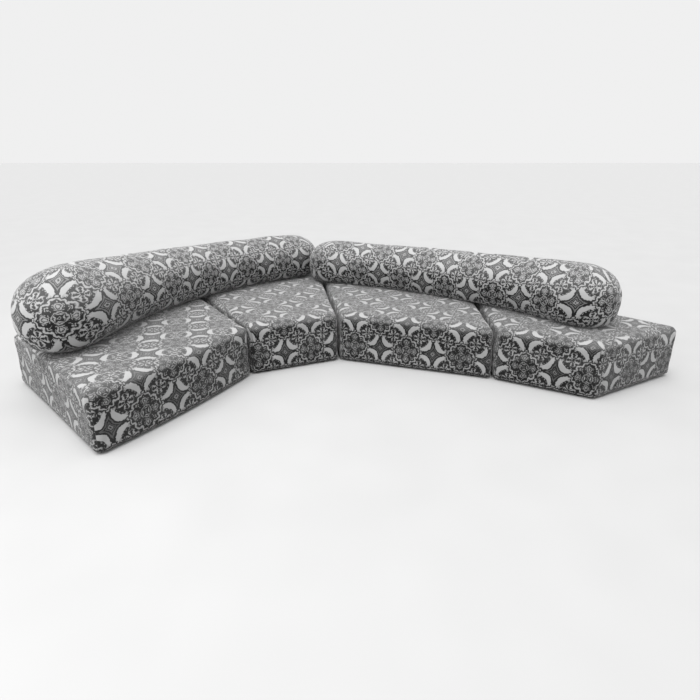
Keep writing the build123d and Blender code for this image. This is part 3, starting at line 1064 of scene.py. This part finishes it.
def bolster_uv(bolster, mesh):
    """Lays the fabric on a bolster: along its arc, round it and round its ends, with a seam low behind."""
    middle, _, vertex, face = face_data(mesh)
    points = coords(mesh)[vertex]
    share, clipped, beyond, lateral, upward = bolster_places(bolster, points)
    _, _, face_beyond, face_lateral, face_upward = bolster_places(bolster, middle)
    radius = bolster.radius(clipped)
    cut = radians(bolster_seam_angle)
    face_angle = (np.arctan2(face_upward, -face_lateral) - cut) % (2 * pi) + cut
    angle = np.arctan2(upward, -lateral)
    angle = angle + 2 * pi * np.round((face_angle[face] - angle) / (2 * pi))
    along = clipped * bolster.length
    round_it = angle * radius
    on_dome = (face_beyond > 0)[face]
    dome = np.where(share < 0, bolster.domes[0], bolster.domes[1])
    scaled = beyond * radius / dome
    reach = np.sqrt(scaled ** 2 + lateral ** 2 + upward ** 2)
    latitude = np.arcsin(np.clip(upward / reach, -1, 1))
    longitude = np.arctan2(scaled, -lateral)
    wrap = longitude * (radius + dome) / 2
    along = np.where(on_dome, np.sign(share) * (bolster.length / 2 + wrap), along)
    round_it = np.where(on_dome, latitude * radius, round_it)
    stars = bolster_stars[bolster.name]
    counts = np.arange(len(stars)) + first_star
    u = np.interp(along, stars, counts)
    u = np.where(along > stars[-1], counts[-1] + (along - stars[-1]) / (stars[-1] - stars[-2]), u)
    u = np.where(along < stars[0], counts[0] + (along - stars[0]) / (stars[1] - stars[0]), u)
    base, bend, start = bolster_row[bolster.name]
    row = base + bend * np.clip((along - start) / row_reach, -row_limit, row_limit) ** 2
    v = (round_it - row) / repeat
    seam = radius * np.minimum(np.abs(angle - cut), np.abs(angle - cut - 2 * pi))
    set_uv(mesh, u, v, np.where(on_dome, no_seam, seam))


def soften_bolster(mesh, seed):
    """Slow waves and small pulls on a bolster's cover, kept above the seats."""
    points = coords(mesh)
    fade = np.clip((points[:, 2] - bolster_level) / wave_rise, 0, 1)
    waves = slack(points, bolster_waves, seed)
    points = points + read(mesh.vertices, "normal") * (waves * fade)[:, None]
    points[:, 2] = np.maximum(points[:, 2], bolster_level)
    set_coords(mesh, points)


def zip_face(bolster):
    """Middle of the zip's band, direction along it and direction out of the bolster."""
    skin = []
    for way in (-1, 1):
        share = way * zip_length / 2 / bolster.length
        place, _, back = bolster.station(share)
        out = np.array([*back * np.cos(radians(zip_slope)), -sin(radians(zip_slope))])
        skin.append(np.array([*place, bolster.height(share)]) + out * bolster.radius(share))
    bulge = zip_length ** 2 / (8 * bolster.arc_radius)
    along = (skin[1] - skin[0]) / np.linalg.norm(skin[1] - skin[0])
    out = out - along * (out @ along)
    out /= np.linalg.norm(out)
    return (skin[0] + skin[1]) / 2 + out * (bulge + zip_stand), along, out


def rounded_bar(bm, middle, axes, sizes, edge):
    """Adds a bar with bevelled edges to a bmesh, on three axes."""
    made = bmesh.ops.create_cube(bm, size=1.0)["verts"]
    for vert in made:
        place = np.array(vert.co) * sizes
        vert.co = middle + place[0] * axes[0] + place[1] * axes[1] + place[2] * axes[2]
    edges = dict.fromkeys(edge for vert in made for edge in vert.link_edges)
    bmesh.ops.bevel(bm, geom=list(edges), offset=edge, segments=2, affect="EDGES", profile=0.5)


def finish_bars(name, bm, material):
    mesh = bpy.data.meshes.new(name)
    bm.to_mesh(mesh)
    bm.free()
    piece = link(bpy.data.objects.new(name, mesh))
    mesh.materials.append(material)
    shade_smooth(mesh)
    return piece


def zip_pieces(bolster):
    """The zip's woven band with a stitched edge, and its two rows of teeth."""
    middle, along, out = zip_face(bolster)
    across = np.cross(out, along)
    axes = (along, across, out)
    bm = bmesh.new()
    rounded_bar(bm, middle - out * band_depth / 2, axes, (zip_length, band_width, band_depth), band_edge)
    for way in (-1, 1):
        stitch_line = middle + across * way * (band_width / 2 - stitch_inset)
        for index in range(int(zip_length / stitch_pitch)):
            place = stitch_line + along * ((index + 0.5) * stitch_pitch - zip_length / 2)
            rounded_bar(bm, place, axes, stitch_size, stitch_edge)
    band = finish_bars(bolster.body + "_zip_band", bm, zip_tape)
    bm = bmesh.new()
    run = zip_length - rib_end_distance * 2
    tooth_size = (tooth_pitch * tooth_length_share, rib_width * tooth_width_share, rib_height)
    for index in range(int(run / tooth_pitch)):
        way = 1 if index % 2 else -1
        place = middle + along * ((index + 0.5) * tooth_pitch - run / 2)
        place = place + across * way * rib_width * tooth_aside_share + out * rib_height / 2
        rounded_bar(bm, place, axes, tooth_size, tooth_edge)
    teeth = finish_bars(bolster.body + "_zip_teeth", bm, finishes["zip_metal"])
    for piece, slot in ((band, "seat_fabric"), (teeth, "zip_metal")):
        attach(piece, bolster.body)


seat_fabric = fabric_material("arabesque_seat_fabric", seat_shades)
# Painted light: the bolsters' copy of the fabric is lighter, as if better lit than the seats
lit_bolster_fabric = fabric_material("arabesque_bolster_fabric_painted_lighter", lit_bolster_shades)

finishes = {
    "plywood": plain_material(
        "birch_plywood", plywood_shades, scale=9.0, detail=6.0, roughness=0.6, stretch=(1, 9, 1),
    ),
    "timber": timber_material(),
    "dust_cloth": plain_material(
        "black_nonwoven", ((0.35, 0.012), (0.65, 0.035)),
        scale=900.0, detail=3.0, roughness=0.9, depth=0.0006,
    ),
    "glide_plastic": plain_material(
        "moulded_black_plastic", ((0.3, 0.014), (0.7, 0.022)),
        scale=1400.0, detail=2.0, roughness=0.48, depth=0.0002,
    ),
    "zinc_steel": plain_material(
        "zinc_plated_steel", zinc_shades, scale=160.0, detail=5.0, roughness=0.36, metal=1.0,
    ),
    "zip_metal": plain_material(
        "blackened_brass", brass_shades, scale=500.0, detail=3.0, roughness=0.36, metal=1.0,
    ),
}
node_finishes = {
    "deck": "plywood", "rail": "timber", "dust_cloth": "dust_cloth", "glides": "glide_plastic",
    "connectors": "zinc_steel", "screws": "zinc_steel", "slider": "zip_metal",
}
for name, node in nodes.items():
    for ending, finish in node_finishes.items():
        if name.endswith(ending):
            for holder in node.material_slots:
                holder.material = finishes[finish]
zip_tape = plain_material(
    "woven_zip_tape", ((0.3, 0.010), (0.7, 0.040)),
    scale=1500.0, detail=2.0, roughness=0.85, stretch=(1, 1, 0.3), depth=0.0005,
)

blocks = {letter: Block(letter) for letter in "abcd"}
for number, (letter, block) in enumerate(blocks.items()):
    piece = block_mesh(block)
    puff(piece, seat_voxel, seat_cap, lambda points: points[:, 2] < underside + seat_held)
    soften_block(block, piece.data, seat_seed + number * seed_step)
    cut_block(block, piece.data)
    block_uv(block, piece.data)
    piece.data.materials.append(seat_fabric)
    seat = "seat_" + letter
    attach(piece, seat)
    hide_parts(seat + "_cover", seat + "_topper", seat + "_foam_core")

home = blocks["a"].starts[0]
for number, name in enumerate(bolsters):
    bolster = Bolster(name, home)
    piece = bolster_mesh(bolster)
    puff(piece, bolster_voxel, bolster_cap, lambda points: points[:, 2] < bolster_level + bolster_held)
    soften_bolster(piece.data, bolster_seed + number * seed_step)
    cut_bolster(bolster, piece.data)
    bolster_uv(bolster, piece.data)
    piece.data.materials.append(lit_bolster_fabric)
    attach(piece, "bolster_" + name)
    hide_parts("bolster_" + name + "_cover", "bolster_" + name + "_core")
    zip_pieces(bolster)

# Floor, light and camera
side = floor_size / 2
floor_corners = [(-side, -side, 0), (side, -side, 0), (side, side, 0), (-side, side, 0)]
floor = mesh_piece("floor", floor_corners, [(0, 1, 2, 3)])
floor_paper = plain_material(
    "floor_paper", ((0.3, 0.49), (0.7, 0.51)), scale=2.0, detail=1.0, roughness=0.9, depth=0.0001,
)
floor.data.materials.append(floor_paper)

bpy.context.scene.view_settings.view_transform = "Standard"
world = bpy.data.worlds.new("studio")
world.use_nodes = True
fill(world.node_tree.nodes["Background"], Color=(1, 1, 1, 1), Strength=world_strength)
bpy.context.scene.world = world

key_data = bpy.data.lights.new("key", "AREA")
key_data.size = key_size
key_data.energy = key_power
key = link(bpy.data.objects.new("key", key_data))
key.location = key_place
key.rotation_euler = (Vector(key_aim) - Vector(key_place)).to_track_quat("-Z", "Y").to_euler()

sun_data = bpy.data.lights.new("overhead", "SUN")
sun_data.energy = sun_strength
sun_data.angle = radians(sun_width)
sun = link(bpy.data.objects.new("overhead", sun_data))
sun.rotation_euler = (*map(radians, sun_tilt), 0)

camera_data = bpy.data.cameras.new("camera")
camera_data.sensor_width = sensor_width
camera_data.lens = focal_pixels / picture_width * sensor_width
camera = link(bpy.data.objects.new("camera", camera_data))
camera.location = camera_place
camera.rotation_euler = (radians(90 - camera_pitch), 0, radians(camera_turn))
bpy.context.scene.camera = camera
